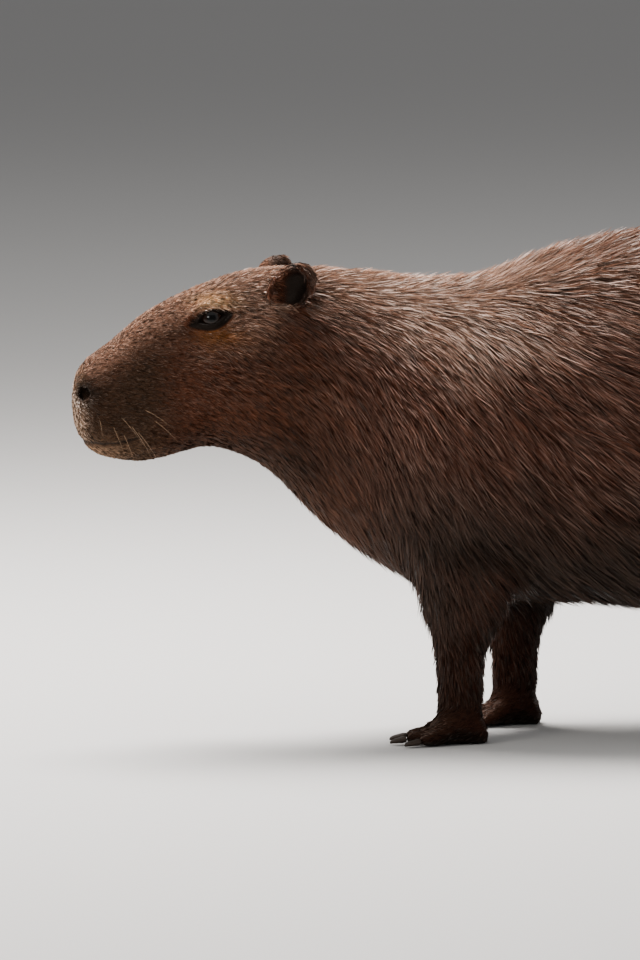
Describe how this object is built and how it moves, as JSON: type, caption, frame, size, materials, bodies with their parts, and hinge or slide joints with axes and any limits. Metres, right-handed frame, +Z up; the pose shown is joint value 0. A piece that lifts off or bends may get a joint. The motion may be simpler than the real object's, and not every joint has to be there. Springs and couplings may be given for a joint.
{
  "type": "capybara",
  "caption": "A life-size model of a grown female capybara standing still, head level and turned slightly to the left, in a coarse reddish-brown coat.",
  "frame": {"origin": "on the ground, under the middle of the whole animal's box", "axes": "+X from the muzzle to the rump, +Y to the animal's right side, +Z up"},
  "size_m": [1.0884, 0.353, 0.5762],
  "materials": {
    "coat": "coarse bristly hair, reddish brown with paler tips along the back",
    "face_coat": "short stiff hair",
    "foot_coat": "short dark hair over bare soles",
    "ear_skin": "thin dark skin with sparse hair",
    "eye": "wet gloss",
    "claw": "worn horn"
  },
  "bodies": {
    "root": {"head": "face_coat", "neck": "coat", "torso": "coat", "ear_left": "ear_skin", "ear_right": "ear_skin", "eye_left": "eye", "eye_right": "eye", "foreleg_left": "coat", "foreleg_right": "coat", "hindleg_left": "coat", "hindleg_right": "coat", "forefoot_left": "foot_coat", "forefoot_right": "foot_coat", "hindfoot_left": "foot_coat", "hindfoot_right": "foot_coat", "forefoot_left_claw_1": "claw", "forefoot_left_claw_2": "claw", "forefoot_left_claw_3": "claw", "forefoot_left_claw_4": "claw", "forefoot_right_claw_1": "claw", "forefoot_right_claw_2": "claw", "forefoot_right_claw_3": "claw", "forefoot_right_claw_4": "claw", "hindfoot_left_claw_1": "claw", "hindfoot_left_claw_2": "claw", "hindfoot_left_claw_3": "claw", "hindfoot_right_claw_1": "claw", "hindfoot_right_claw_2": "claw", "hindfoot_right_claw_3": "claw"}
  },
  "joints": []
}
